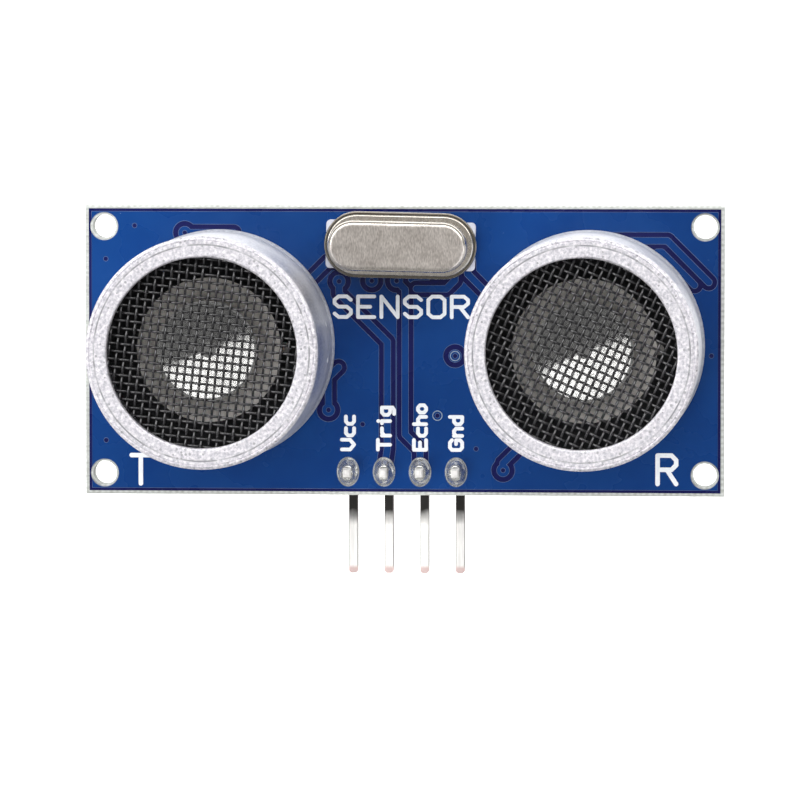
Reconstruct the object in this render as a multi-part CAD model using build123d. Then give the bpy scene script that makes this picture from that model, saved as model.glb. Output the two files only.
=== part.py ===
from build123d import *
import os
from itertools import pairwise
from math import atan2, cos, degrees, hypot, radians, sin

# Ultrasonic distance sensor: a small circuit board that carries two round transducers on its front.
#
# Everything is modelled in millimetres on a board that lies flat, front face up: X along the board, Y up it,
# and Z forwards, counted from the rear of the bare laminate. write() then stands each piece upright, so that
# in the finished part +Z is up the board and the sensor looks along -Y. The origin is the centre of the four
# corner holes, on the laminate's rear face. What stands on the rear of the board has a negative Z here.

# Board
board_width = 45.0
board_height = 20.4
core_thickness = 1.5
copper_thickness = 0.035
mask_thickness = 0.03
mask_sink = 0.02  # how far the mask sags where there is no copper under it
pad_finish = 0.015  # tin on the bare pads
legend_thickness = 0.02
mask_margin = 0.25  # bare laminate left round the board's edge
copper_margin = 0.45
edge_chamfer = 0.12
corner_hole_radius = 0.83
corner_hole_span_x = 42.3
corner_hole_span_y = 17.4
corner_hole_bare_radius = 1.0

# Transducers, the same for both
transducer_x = 13.0
transducer_y = 0.35
can_height = 12.0
can_radius = 8.0
can_foot_radius = 8.15
can_foot_height = 0.5
can_bore_radius = 7.45
can_face_radius = 6.55  # opening in the face
can_lip = 0.6
can_face_round = 0.2
can_opening_round = 0.15
coining_radius = 7.72  # fine groove pressed round the face, near its edge
coining_depth = 0.06
stake_height = 3.5  # of the small punch marks that hold the base in the can
stake_radius = 0.28
stake_depth = 0.16
stake_angles = [turn + step for turn in (3, 123, 243) for step in (-9, 9)]
grille_pitch = 0.54
grille_wire = 0.18
grille_radius = 7.4
grille_turn = {"transmitter": -6.0, "receiver": -24.0}
base_gap = 0.2
base_thickness = 3.0
support_height = 3.6
support_outer_radius = 4.2
support_inner_radius = 3.0
support_notch = (0.7, 0.9)
diaphragm_radius = 5.0
diaphragm_thickness = 0.25
piezo_radius = 2.7
piezo_thickness = 0.35
horn_mouth_radius = 3.45
horn_foot_radius = 0.35
horn_height = 1.4
horn_wall = 0.16
terminal_radius = 0.4
terminal_spacing = 10.0
terminal_stub = 1.0
terminal_tail = 1.3  # how far the terminals reach out of the rear of the board
wire_radius = 0.12

# Pin header
header_x = -0.12
header_y = -8.55
pin_pitch = 2.54
pin_size = 0.64
pin_drop = 5.9  # how far the pins reach below the board
pin_bend_radius = 0.85
pin_tip = 1.25  # how far the pins stand out of the front of the board
pin_end_chamfer = 0.15
pin_names = ["supply_pin", "trigger_pin", "echo_pin", "ground_pin"]
block_depth = 2.5
block_height = 2.5
block_notch = 0.45
pad_radii = (0.8, 1.05)
front_pads = (0.9, 0.6)  # pad radius of a transducer's terminal, and of a crystal's lead
rear_pads = (1.05, 0.75)
hole_clearance = 0.08
plating = 0.05

# Crystal
crystal_x = -0.2
crystal_y = 7.4
crystal_turn = -1.2
crystal_lead_spacing = 4.88
crystal_lead_radius = 0.22
crystal_flange = (10.75, 4.65)
crystal_weld = (10.3, 4.2)  # the can's own lip, welded onto the base's flange
crystal_body = (9.7, 3.5)
crystal_height = 3.7
crystal_wall = 0.22
crystal_base_thickness = 0.35
crystal_rim = 0.22
crystal_rim_round = 0.12
crystal_top_round = 0.36
insulator_size = (10.5, 3.4)
insulator_thickness = 0.3
insulator_corner = 0.3
seal_radius = 0.57
quartz_size = (7.0, 0.32)
clip_size = (0.8, 1.3)
clip_web = 0.2
crystal_lead_tail = 1.2

# Rear components
chip_width = 3.9
chip_span = 6.0
chip_height = 1.4
chip_standoff = 0.12
chip_draft = 0.1
lead_pitch = 1.27
lead_width = 0.41
lead_thickness = 0.2
lead_foot = 0.65
small_part = (1.6, 0.8)  # length and width of the small resistors and capacitors
small_cap_length = 0.3
small_pad = (0.7, 0.9)
chip_pad = (0.56, 1.3)
resistor_height = 0.45
capacitor_height = 0.8
transistor_size = (2.9, 1.3, 1.0)
transistor_span = 2.8
transistor_foot = 0.35

# Heights that follow from those
front = core_thickness
front_copper_top = front + copper_thickness
front_mask_top = front_copper_top + mask_thickness
film = copper_thickness + mask_thickness
pad_height = copper_thickness + pad_finish
seat = front_mask_top + 0.035  # where the cans stand
face = seat + can_height
pin_bore = pin_size * 0.5 * 2**0.5 + hole_clearance
terminal_bore = terminal_radius + hole_clearance
crystal_bore = crystal_lead_radius + 0.12

corner_holes = [(i * corner_hole_span_x / 2, j * corner_hole_span_y / 2) for i in (-1, 1) for j in (-1, 1)]
pin_places = [(header_x + (i - 1.5) * pin_pitch, header_y) for i in range(4)]
terminal_steps = (-terminal_spacing / 2, terminal_spacing / 2)
terminal_places = [(i * transducer_x + step, transducer_y) for i in (-1, 1) for step in terminal_steps]
crystal_steps = (-crystal_lead_spacing / 2, crystal_lead_spacing / 2)
crystal_places = [(crystal_x + step, crystal_y) for step in crystal_steps]

# Plated holes that join the two faces. A ring of laminate is kept bare of copper round the isolated ones.
via_radius = 0.25
via_plating = 0.08
via_pad_radius = 0.45
via_clear_radius = 0.84
ground_vias = [(-19.0, 8.75), (-21.05, 6.4), (-21.05, -6.4), (5.1, -6.9), (-2.9, -5.2), (21.6, -0.3)]
ground_vias += [(2.38, -4.57)]
isolated_vias = [(-4.55, 4.85), (-2.25, 4.9), (-0.5, 4.9), (-15.45, 8.25), (-5.3, -4.2), (7.0, -8.4)]
isolated_vias += [(3.62, -0.37)]
all_vias = ground_vias + isolated_vias

# Copper tracks, each a line through a few points
track_width = 0.48
track_gap = 0.36
front_tracks = [
    [(-4.55, 4.85), (-4.55, 4.0), (-1.15, 0.6), (-1.15, -6.9), pin_places[1]],
    [(-0.5, 4.9), (0.1, 4.3), (0.1, -5.9), (1.15, -6.95), pin_places[2]],
    [(-2.25, 4.9), (-2.25, 5.6), (-2.9, 6.25), (-5.3, 6.25), (-7.6, 3.95)],
    [(0.9, 4.35), (3.0, 4.35), (3.6, 4.95), (3.6, 6.3)],
    [(2.3, 5.9), (2.3, 5.3)],
    [(4.5, 6.2), (4.5, 5.4), (6.4, 3.5)],
    [(7.0, -8.4), (7.0, -7.9), (8.8, -6.1)],
    [(-15.45, 8.25), (-12.0, 8.25)],
    [(12.4, 7.75), (18.5, 7.75), (21.4, 4.85)],
    [(17.8, 6.95), (18.1, 6.95), (20.4, 4.65)],
    [(-5.3, -4.2), (-5.3, -1.9), (-4.6, -1.2)],
]
rear_tracks = [
    [terminal_places[0], (-19.6, -1.25), (-19.6, -6.6), (-17.9, -8.3), (-8.4, -8.3)],
    [terminal_places[1], (-6.7, 1.65), (-6.7, 5.9), (-4.9, 7.7), (-4.4, 7.7)],
    [terminal_places[2], (6.4, -1.25), (6.4, -2.4)],
    [terminal_places[3], (19.6, 1.95), (19.6, 6.4), (17.5, 8.5), (9.0, 8.5)],
    [crystal_places[0], (-2.64, 4.2)],
    [crystal_places[1], (2.24, 4.2)],
    [(-9.8, -5.9), (-7.0, -5.9), (-5.3, -4.2)],
    [(9.2, 5.9), (5.8, 5.9), (4.3, 4.4)],
]

# Rear components. A chip is its place, its leads a side, and how far it is turned from level.
chips = {
    "driver_chip": (-transducer_x, 0.0, 8, 90),
    "amplifier_chip": (transducer_x, 0.0, 7, 90),
    "controller_chip": (0.0, 0.7, 7, 0),
}
upright, level = 90, 0
resistors = [(x, 7.0, upright) for x in (-16.6, -15.1, -13.6, -12.1, 9.8, 11.3, 12.8, 14.3, 15.8)]
resistors += [(x, -6.9, upright) for x in (9.8, 11.3, 12.8, 14.3)]
resistors += [(-7.0, -2.2, level), (-7.0, -3.7, level), (7.0, 2.9, level), (7.0, 4.3, level)]
capacitors = [(x, -6.9, upright) for x in (-16.6, -15.1, -13.6, -12.1, 16.0, 17.5)]
capacitors += [(-10.3, 7.0, upright), (17.4, 7.0, upright), (-20.9, 2.4, upright), (20.9, -3.2, upright)]
capacitors += [(-1.4, -4.6, level), (1.6, -4.6, level), (-5.9, 2.6, level)]
transistor_place = (7.0, -5.2)

# Stroke letters on a grid six high. Each is its width and its lines.
letters = {
    "S": (4, [
        [(4, 5), (3, 6), (1, 6), (0, 5), (0, 4), (1, 3), (3, 3), (4, 2), (4, 1), (3, 0), (1, 0), (0, 1)],
    ]),
    "E": (4, [[(4, 6), (0, 6), (0, 0), (4, 0)], [(0, 3), (3, 3)]]),
    "N": (4, [[(0, 0), (0, 6), (4, 0), (4, 6)]]),
    "O": (4, [[(1, 0), (0, 1), (0, 5), (1, 6), (3, 6), (4, 5), (4, 1), (3, 0), (1, 0)]]),
    "R": (4, [[(0, 0), (0, 6), (3, 6), (4, 5), (4, 4), (3, 3), (0, 3)], [(2, 3), (4, 0)]]),
    "T": (4, [[(0, 6), (4, 6)], [(2, 6), (2, 0)]]),
    "V": (4, [[(0, 6), (0, 2), (2, 0), (4, 2), (4, 6)]]),
    "G": (4, [[(4, 5), (3, 6), (1, 6), (0, 5), (0, 1), (1, 0), (3, 0), (4, 1), (4, 3), (2.4, 3)]]),
    "c": (3, [[(3, 4), (1, 4), (0, 3), (0, 1), (1, 0), (3, 0)]]),
    "r": (3, [[(0, 0), (0, 4)], [(0, 2.8), (1.2, 4), (3, 4)]]),
    "i": (2, [[(0.3, 4), (1.2, 4), (1.2, 0)], [(1.2, 5.7), (1.2, 5.8)]]),
    "g": (3, [[(3, 4), (1, 4), (0, 3), (0, 1), (1, 0), (3, 0)], [(3, 4), (3, -1.2), (2, -2), (0.4, -2)]]),
    "h": (3, [[(0, 0), (0, 6)], [(0, 3), (1, 4), (2, 4), (3, 3), (3, 0)]]),
    "o": (3, [[(1, 0), (0, 1), (0, 3), (1, 4), (2, 4), (3, 3), (3, 1), (2, 0), (1, 0)]]),
    "n": (3, [[(0, 0), (0, 4)], [(0, 3), (1, 4), (2, 4), (3, 3), (3, 0)]]),
    "d": (3, [[(3, 6), (3, 0), (1, 0), (0, 1), (0, 3), (1, 4), (3, 4)]]),
}
letter_gap = 1.75
board_word = ("SENSOR", 9.4, 1.45, 0.26)  # text, length, height and line width
side_letters = [("T", -18.6, -9.45), ("R", 18.5, -9.3)]
side_letter_size = (1.3, 2.0, 0.32)
pin_labels = ["Vcc", "Trig", "Echo", "Gnd"]
pin_label_height = 0.86
pin_label_stretch = 1.2
pin_label_line = 0.26
pin_label_start = -6.98


def write(name, pieces):
    """Stands a piece, or a group of like pieces, upright and saves it as a node of its own."""
    solids = [Rot(90, 0, 0) * solid for solid in group(pieces)]
    export_step(Compound(solids), os.path.join("parts", name + ".step"))


def group(pieces):
    """The separate solids of one piece, or of a list of like pieces."""
    pieces = pieces if isinstance(pieces, list) else [pieces]
    return [solid for piece in pieces for solid in piece.solids()]


def slab(outline, bottom, top):
    """A flat outline made solid from one height to another."""
    return Pos(0, 0, bottom) * extrude(outline, amount=top - bottom)


def turned(points):
    """A solid turned about Z from (radius, height) points."""
    return revolve(Plane.XZ * make_face(Polyline(*points, close=True)), Axis.Z)


def stroke(points, width):
    """A line of even width with round ends, drawn through the points."""
    runs = []
    for (x0, y0), (x1, y1) in pairwise(points):
        along = Pos((x0 + x1) / 2, (y0 + y1) / 2) * Rot(0, 0, degrees(atan2(y1 - y0, x1 - x0)))
        runs.append(along * SlotCenterToCenter(hypot(x1 - x0, y1 - y0), width))
    return Sketch() + runs


def dots(places, radius):
    """One disc at each place."""
    return [Pos(x, y) * Circle(radius) for x, y in places]


def lettering(text, unit_x, unit_y, line):
    """A word in stroke letters, its lower left corner at the origin."""
    strokes, along = [], 0.0
    for letter in text:
        width, lines = letters[letter]
        for points in lines:
            strokes.append(stroke([((along + x) * unit_x, y * unit_y) for x, y in points], line))
        along += width + letter_gap
    return Sketch() + strokes


def units_long(text):
    """How many grid units a word takes."""
    return sum(letters[letter][0] for letter in text) + letter_gap * (len(text) - 1)


# Board


def board_core():
    """Glass laminate with every hole drilled, its long edges broken where it was snapped from a panel."""
    outline = Rectangle(board_width, board_height) - dots(corner_holes, corner_hole_radius)
    outline -= dots(pin_places, pin_bore + plating) + dots(terminal_places, terminal_bore + plating)
    outline -= dots(crystal_places, crystal_bore + plating) + dots(all_vias, via_radius)
    core = slab(outline, 0, front)
    long_edges = [edge for edge in core.edges().filter_by(Axis.X) if edge.length > board_width - 0.01]
    return chamfer(long_edges, edge_chamfer)


def pin_pads():
    return [Pos(x, y) * Ellipse(*pad_radii) for x, y in pin_places]


def lead_pads(terminal_pad, crystal_pad):
    """The round pads of the transducers' terminals and the crystal's leads."""
    return dots(terminal_places, terminal_pad) + dots(crystal_places, crystal_pad)


def lead_steps(leads):
    """Where each lead of a row stands, counted from the row's middle."""
    return [(i - (leads - 1) / 2) * lead_pitch for i in range(leads)]


def component_pads():
    """The bare pads under the rear components."""
    pads = []
    reach = (chip_span - lead_foot) / 2
    for x, y, leads, turn in chips.values():
        spots = [Pos(step, side * reach) for step in lead_steps(leads) for side in (-1, 1)]
        pads += [Pos(x, y) * Rot(0, 0, turn) * spot * Rectangle(*chip_pad) for spot in spots]
    half = (small_part[0] - small_cap_length) / 2 + 0.1
    for x, y, turn in resistors + capacitors:
        spots = [Pos(side * half, 0) for side in (-1, 1)]
        pads += [Pos(x, y) * Rot(0, 0, turn) * spot * Rectangle(*small_pad) for spot in spots]
    pads += [Pos(*transistor_place) * Pos(*foot) * Rectangle(*small_pad) for foot in transistor_feet()]
    return pads


def transistor_feet():
    """Two feet on one side of the transistor and one on the other."""
    reach = (transistor_span - transistor_foot) / 2
    return [(-0.95, -reach), (0.95, -reach), (0, reach)]


def cleared(outline):
    """Takes the corner holes, with their bare rings, out of a layer."""
    return outline - dots(corner_holes, corner_hole_bare_radius)


def copper(tracks, pads):
    """One side's copper: a ground sheet, with a gap round every track, every isolated via and every pad."""
    sheet = Rectangle(board_width - 2 * copper_margin, board_height - 2 * copper_margin)
    sheet -= [stroke(track, track_width + 2 * track_gap) for track in tracks]
    sheet -= dots(isolated_vias, via_clear_radius)
    lines = Sketch() + [stroke(track, track_width) for track in tracks] + dots(isolated_vias, via_pad_radius)
    return cleared(sheet + lines) - dots(all_vias, via_radius - via_plating) - pads


def front_openings():
    """Where the front mask leaves metal bare."""
    return pin_pads() + lead_pads(*front_pads)


def rear_openings():
    """Where the rear mask leaves metal bare."""
    return pin_pads() + lead_pads(*rear_pads) + component_pads()


def film_layers(tracks, pads, openings):
    """One side's copper and the lacquer over it, from height 0. The lacquer sinks at each gap and via."""
    metal = copper(tracks, pads)
    outline = Rectangle(board_width - 2 * mask_margin, board_height - 2 * mask_margin)
    lacquer = cleared(outline - openings)
    cover = slab(lacquer, 0, film) - slab(metal, 0, copper_thickness)
    cover -= slab(lacquer - metal, film - mask_sink, film)
    return slab(metal, 0, copper_thickness), cover


def front_film():
    """Copper and lacquer of the front."""
    pads = pin_pads() + lead_pads(*front_pads)
    return [Pos(0, 0, front) * layer for layer in film_layers(front_tracks, pads, front_openings())]


def rear_film():
    """Copper and lacquer of the rear: made face up, then mirrored to face down."""
    pads = rear_openings()
    return [mirror(layer, about=Plane.XY) for layer in film_layers(rear_tracks, pads, pads)]


def component_pad_metal():
    """The tinned pads themselves."""
    return group([slab(pad, -pad_height, 0) for pad in component_pads()])


def plated_hole(bore, front_pad, rear_pad):
    """A lined hole with a tinned pad at each end."""
    lining = slab(Circle(bore + plating) - Circle(bore), -pad_height, front + pad_height)
    front_ring = slab(front_pad - Circle(bore), front, front + pad_height)
    rear_ring = slab(rear_pad - Circle(bore), -pad_height, 0)
    return lining + front_ring + rear_ring


def plated_holes():
    kinds = [
        (pin_places, plated_hole(pin_bore, Ellipse(*pad_radii), Ellipse(*pad_radii))),
        (terminal_places, plated_hole(terminal_bore, Circle(front_pads[0]), Circle(rear_pads[0]))),
        (crystal_places, plated_hole(crystal_bore, Circle(front_pads[1]), Circle(rear_pads[1]))),
    ]
    return group([Pos(x, y) * hole for places, hole in kinds for x, y in places])


def via_linings():
    lining = slab(Circle(via_radius) - Circle(via_radius - via_plating), 0, front)
    return group([Pos(x, y) * lining for x, y in all_vias])


def front_legend():
    """White ink: a word under the crystal, a letter beside each transducer and a name above each pin."""
    text, length, height, line = board_word
    marks = [Pos(-0.17 - length / 2, 2.35) * lettering(text, length / units_long(text), height / 6, line)]
    width, height, line = side_letter_size
    for text, x, y in side_letters:
        marks.append(Pos(x - width / 2, y) * lettering(text, width / 4, height / 6, line))
    unit = pin_label_height / 6
    for (x, _), text in zip(pin_places, pin_labels):
        turned_up = Pos(x + pin_label_height / 2, pin_label_start) * Rot(0, 0, 90)
        marks.append(turned_up * lettering(text, pin_label_stretch * unit, unit, pin_label_line))
    return slab(Sketch() + marks, front_mask_top, front_mask_top + legend_thickness)


def rear_legend():
    """White ink on the rear: a line at the first-lead end of each chip, and a frame round the header."""
    marks = []
    for x, y, leads, turn in chips.values():
        end = leads * lead_pitch / 2 + 0.4
        marks.append(Pos(x, y) * Rot(0, 0, turn) * stroke([(-end, -1.6), (-end, 1.6)], 0.15))
    half, low, high = 2 * pin_pitch + 0.35, header_y - 1.5, header_y + 1.6
    corners = [(-half, low), (-half, high), (half, high), (half, low)]
    marks.append(stroke([(header_x + x, y) for x, y in corners], 0.15))
    return slab(Sketch() + marks, -film - legend_thickness, -film)


# Pin header


def header_pin(x):
    """A square pin: straight through the board and the block, then bent down past the board's edge."""
    half = pin_size / 2
    top = front + pin_tip
    back = -film - block_depth - pin_bend_radius
    low = -board_height / 2 - pin_drop
    outside = (header_y + half, back - half)
    inside = (header_y - half, back + half)
    side_view = Polygon(
        (header_y - half, top), (header_y + half, top), outside,
        (low, back - half), (low, back + half), inside,
        align=None,
    )
    for (corner_y, corner_z), radius in ((outside, pin_bend_radius + half), (inside, pin_bend_radius - half)):
        corner = side_view.vertices().sort_by_distance((corner_y, corner_z, 0))[0]
        side_view = fillet(corner, radius)
    pin = Pos(x, 0, 0) * extrude(Plane.YZ * side_view, amount=half, both=True)
    pin = chamfer(pin.faces().sort_by(Axis.Z)[-1].edges(), pin_end_chamfer)
    return chamfer(pin.faces().sort_by(Axis.Y)[0].edges(), pin_end_chamfer)


def header_block():
    """The black strip that holds the pins, notched between one pin and the next."""
    strip = Rectangle(4 * pin_pitch, block_height)
    notch = Rot(0, 0, 45) * Rectangle(block_notch * 2**0.5, block_notch * 2**0.5)
    strip -= [Pos((i - 2) * pin_pitch, end * block_height / 2) * notch for i in range(5) for end in (-1, 1)]
    strip -= [Pos((i - 1.5) * pin_pitch, 0) * Rectangle(pin_size, pin_size) for i in range(4)]
    return Pos(header_x, header_y) * slab(strip, -film - block_depth, -film)


def header_solder():
    """Cones of solder that climb the pins from their oval pads."""
    bottom = front + pad_height
    top = front + pin_tip - pin_end_chamfer - 0.03
    outlines = [
        Pos(0, 0, bottom) * Ellipse(pad_radii[0] - 0.03, pad_radii[1] - 0.03),
        Pos(0, 0, bottom + 0.35) * Ellipse(0.66, 0.84),
        Pos(0, 0, top) * Ellipse(0.47, 0.52),
    ]
    cone = loft(outlines) - slab(Rectangle(pin_size, pin_size), front, top + 1)
    return group([Pos(x, y) * cone for x, y in pin_places])


def rear_solder(places, lead_radius, foot_radius):
    """Cones of solder round leads where they come out of the rear of the board."""
    bead = turned([
        (lead_radius, -pad_height),
        (foot_radius, -pad_height),
        (0.45 * (lead_radius + foot_radius), -pad_height - 0.4),
        (lead_radius + 0.1, -pad_height - 0.9),
        (lead_radius, -pad_height - 0.9),
    ])
    return group([Pos(x, y) * bead for x, y in places])


# Crystal


def crystal_pieces():
    """Crystal in its welded metal can, standing on a white insulating plate."""
    at = Pos(crystal_x, crystal_y) * Rot(0, 0, crystal_turn)
    plate_top = front_mask_top + insulator_thickness
    base_top = plate_top + crystal_base_thickness
    can_top = plate_top + crystal_height
    lead_top = base_top + 0.6
    leads = [Pos(step, 0) for step in crystal_steps]

    plate = RectangleRounded(*insulator_size, insulator_corner)
    plate -= [spot * Circle(crystal_lead_radius + 0.15) for spot in leads]
    base = slab(SlotOverall(*crystal_flange), plate_top, base_top)
    base = fillet(base.faces().sort_by(Axis.Z)[-1].edges(), crystal_rim_round)
    base -= [spot * slab(Circle(seal_radius), plate_top, base_top) for spot in leads]

    rim = slab(SlotOverall(*crystal_weld), base_top, base_top + crystal_rim)
    rim = fillet(rim.faces().sort_by(Axis.Z)[-1].edges(), crystal_rim_round)
    shell = slab(SlotOverall(*crystal_body), base_top, can_top)
    shell = fillet(shell.faces().sort_by(Axis.Z)[-1].edges(), crystal_top_round)
    inside = [size - 2 * crystal_wall for size in crystal_body]
    can = rim + shell - slab(SlotOverall(*inside), base_top, can_top - crystal_wall)

    quartz_bottom = lead_top + clip_web
    grip = Rectangle(*clip_size)
    prongs = grip - Rectangle(clip_size[0], quartz_size[1])
    pieces = {
        "glass_seals": slab(Circle(seal_radius) - Circle(crystal_lead_radius), plate_top, base_top),
        "leads": slab(Circle(crystal_lead_radius), -crystal_lead_tail, lead_top),
        "clips": slab(grip, lead_top, quartz_bottom) + slab(prongs, quartz_bottom, quartz_bottom + 1.0),
    }
    nodes = {"crystal_" + name: [at * spot * piece for spot in leads] for name, piece in pieces.items()}
    nodes["crystal_insulator"] = at * slab(plate, front_mask_top, plate_top)
    nodes["crystal_base"] = at * base
    nodes["crystal_can"] = at * can
    nodes["crystal_quartz"] = at * slab(Rectangle(*quartz_size), quartz_bottom, can_top - crystal_wall - 0.3)
    nodes["crystal_solder_joints"] = rear_solder(crystal_places, crystal_lead_radius + 0.06, 0.72)
    return nodes


# Transducers


def can():
    """Drawn aluminium can: open at the back, with a lip in front that holds the grille."""
    section = make_face(Polyline(
        (can_bore_radius, seat),
        (can_foot_radius, seat),
        (can_foot_radius, seat + can_foot_height / 2),
        (can_radius, seat + can_foot_height),
        (can_radius, face),
        (coining_radius + coining_depth, face),
        (coining_radius, face - coining_depth),
        (coining_radius - coining_depth, face),
        (can_face_radius, face),
        (can_face_radius, face - can_lip),
        (can_bore_radius, face - can_lip),
        close=True,
    ))
    for radius, roundness in ((can_radius, can_face_round), (can_face_radius, can_opening_round)):
        corner = section.vertices().sort_by_distance((radius, face, 0))[0]
        section = fillet(corner, roundness)
    shell = revolve(Plane.XZ * section, Axis.Z)
    punch = Pos(can_radius + stake_radius - stake_depth, 0, seat + stake_height) * Sphere(stake_radius)
    return shell - [Rot(0, 0, angle) * punch for angle in stake_angles]


def grille(turn):
    """Protective screen: a flat lattice of the real pitch and wire width, with a plain rim under the lip."""
    half = (grille_pitch - grille_wire) / 2
    reach = int(grille_radius / grille_pitch)
    corners = [(-half, -half), (half, -half), (half, half), (-half, half)]
    holes = []
    for i in range(-reach, reach + 1):
        for j in range(-reach, reach + 1):
            if hypot(i, j) * grille_pitch < can_face_radius + half:
                spot = [(i * grille_pitch + x, j * grille_pitch + y) for x, y in corners]
                holes.append(Wire(Polyline(*spot, close=True).edges()))
    lattice = Face(Wire(Edge.make_circle(grille_radius)), holes)
    return Rot(0, 0, turn) * slab(lattice, face - can_lip - 2 * grille_wire, face - can_lip)


def horn(foot):
    """Thin metal cone, closed where it stands on the diaphragm."""
    slope = (horn_mouth_radius - horn_foot_radius) / horn_height
    return turned([
        (0, foot),
        (horn_foot_radius, foot),
        (horn_mouth_radius, foot + horn_height),
        (horn_mouth_radius - horn_wall, foot + horn_height),
        (horn_foot_radius - horn_wall + slope * horn_wall, foot + horn_wall),
        (0, foot + horn_wall),
    ])


def lead_wires(base_top, support_top):
    """One wire from a terminal up to the diaphragm's edge, one through the ring to the piezo disc."""
    terminal = terminal_spacing / 2
    edge_wire = slab(Circle(wire_radius), base_top + terminal_stub, support_top)
    low = base_top + support_notch[1] / 2
    reach = -0.6 * piezo_radius
    start, turn = (-terminal + terminal_radius, 0, low), (reach, 0, low)
    path = FilletPolyline(start, turn, (reach, 0, support_top - piezo_thickness), radius=0.4)
    disc_wire = sweep(Plane(path @ 0, z_dir=(1, 0, 0)) * Circle(wire_radius), path=path)
    return [Pos(terminal - 0.2, 0, 0) * edge_wire, disc_wire]


def transducer_pieces(side, x):
    """Everything in and under one can."""
    at = Pos(x, transducer_y)
    base_bottom = seat + base_gap
    base_top = base_bottom + base_thickness
    support_top = base_top + support_height
    diaphragm_top = support_top + diaphragm_thickness
    leads = [Pos(step, 0) for step in terminal_steps]

    base = Circle(can_bore_radius - 0.01) - [spot * Circle(terminal_radius) for spot in leads]
    ring = slab(Circle(support_outer_radius) - Circle(support_inner_radius), base_top, support_top)
    notch_width, notch_height = support_notch
    ring -= slab(Pos(-support_outer_radius, 0) * Rectangle(3, notch_width), base_top, base_top + notch_height)
    terminal = slab(Circle(terminal_radius), -terminal_tail, base_top + terminal_stub)
    places = [(x + step, transducer_y) for step in terminal_steps]
    return {
        f"{side}_can": at * can(),
        f"{side}_grille": at * grille(grille_turn[side]),
        f"{side}_base": at * slab(base, base_bottom, base_top),
        f"{side}_support_ring": at * ring,
        f"{side}_piezo_disc": at * slab(Circle(piezo_radius), support_top - piezo_thickness, support_top),
        f"{side}_diaphragm": at * slab(Circle(diaphragm_radius), support_top, diaphragm_top),
        f"{side}_horn": at * horn(diaphragm_top),
        f"{side}_terminals": group([at * spot * terminal for spot in leads]),
        f"{side}_lead_wires": group([at * wire for wire in lead_wires(base_top, support_top)]),
        f"{side}_solder_joints": rear_solder(places, terminal_radius, 1.0),
    }


# Rear components, each made face up on a bench at the origin


def on_rear(x, y, turn):
    """Where a part made on the bench goes: turned over onto the rear pads."""
    return Pos(x, y, -pad_height) * Rot(0, 0, turn) * Rot(180, 0, 0)


def moulded_body(length, width, bottom, top):
    """A moulded block whose sides draw in above and below its middle."""
    middle = (bottom + top) / 2
    inner = Rectangle(length - 2 * chip_draft, width - 2 * chip_draft)
    outer = Rectangle(length, width)
    lower = loft([Pos(0, 0, bottom) * inner, Pos(0, 0, middle) * outer])
    upper = loft([Pos(0, 0, middle) * outer, Pos(0, 0, top) * inner])
    return lower + upper


def gull_lead(body_side, reach, shoulder, foot):
    """One bent lead, from the side of a body down to its pad, along +Y."""
    t = lead_thickness
    knee = reach - foot
    side_view = Polygon(
        (body_side, shoulder), (knee, shoulder), (knee + 0.8 * t, t), (reach, t), (reach, 0), (knee, 0),
        (knee - 0.8 * t, shoulder - t), (body_side, shoulder - t),
        align=None,
    )
    return extrude(Plane.YZ * side_view, amount=lead_width / 2, both=True)


def chip_pieces(name, x, y, leads, turn):
    """A chip and its two rows of leads."""
    at = on_rear(x, y, turn)
    top = chip_standoff + chip_height
    shoulder = chip_standoff + chip_height / 2 + lead_thickness / 2
    length = leads * lead_pitch - 0.15
    dot = Pos(0.9 - length / 2, 0.9 - chip_width / 2) * Circle(0.35)
    body = moulded_body(length, chip_width, chip_standoff, top) - slab(dot, top - 0.08, top)
    lead = gull_lead(chip_width / 2, chip_span / 2, shoulder, lead_foot)
    rows = [Pos(step, 0) * Rot(0, 0, side) * lead for step in lead_steps(leads) for side in (0, 180)]
    return {f"{name}_body": at * body, f"{name}_leads": group([at * piece for piece in rows])}


def small_parts(name, places, height):
    """Small two-ended parts: a body between two metal end caps that wrap it."""
    length, width = small_part
    body = slab(Rectangle(length - 2 * small_cap_length, width), 0.02, height)
    cap = slab(Rectangle(small_cap_length, width + 0.04), 0, height + 0.03)
    cap = fillet(cap.edges().filter_by(Axis.Y), 0.06)
    step = (length - small_cap_length) / 2
    spots = [on_rear(x, y, turn) for x, y, turn in places]
    ends = [spot * Pos(side * step, 0, 0) * cap for spot in spots for side in (-1, 1)]
    return {f"{name}_bodies": group([spot * body for spot in spots]), f"{name}_ends": group(ends)}


def transistor_pieces():
    """A three-legged transistor."""
    at = on_rear(*transistor_place, 0)
    length, width, height = transistor_size
    body = moulded_body(length, width, chip_standoff, chip_standoff + height)
    shoulder = chip_standoff + height / 2 + lead_thickness / 2
    lead = gull_lead(width / 2, transistor_span / 2, shoulder, transistor_foot)
    places = [(-0.95, 180), (0.95, 180), (0, 0)]
    legs = [Pos(x, 0) * Rot(0, 0, -turn) * lead for x, turn in places]
    return {"transistor_body": at * body, "transistor_leads": group([at * leg for leg in legs])}


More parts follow.
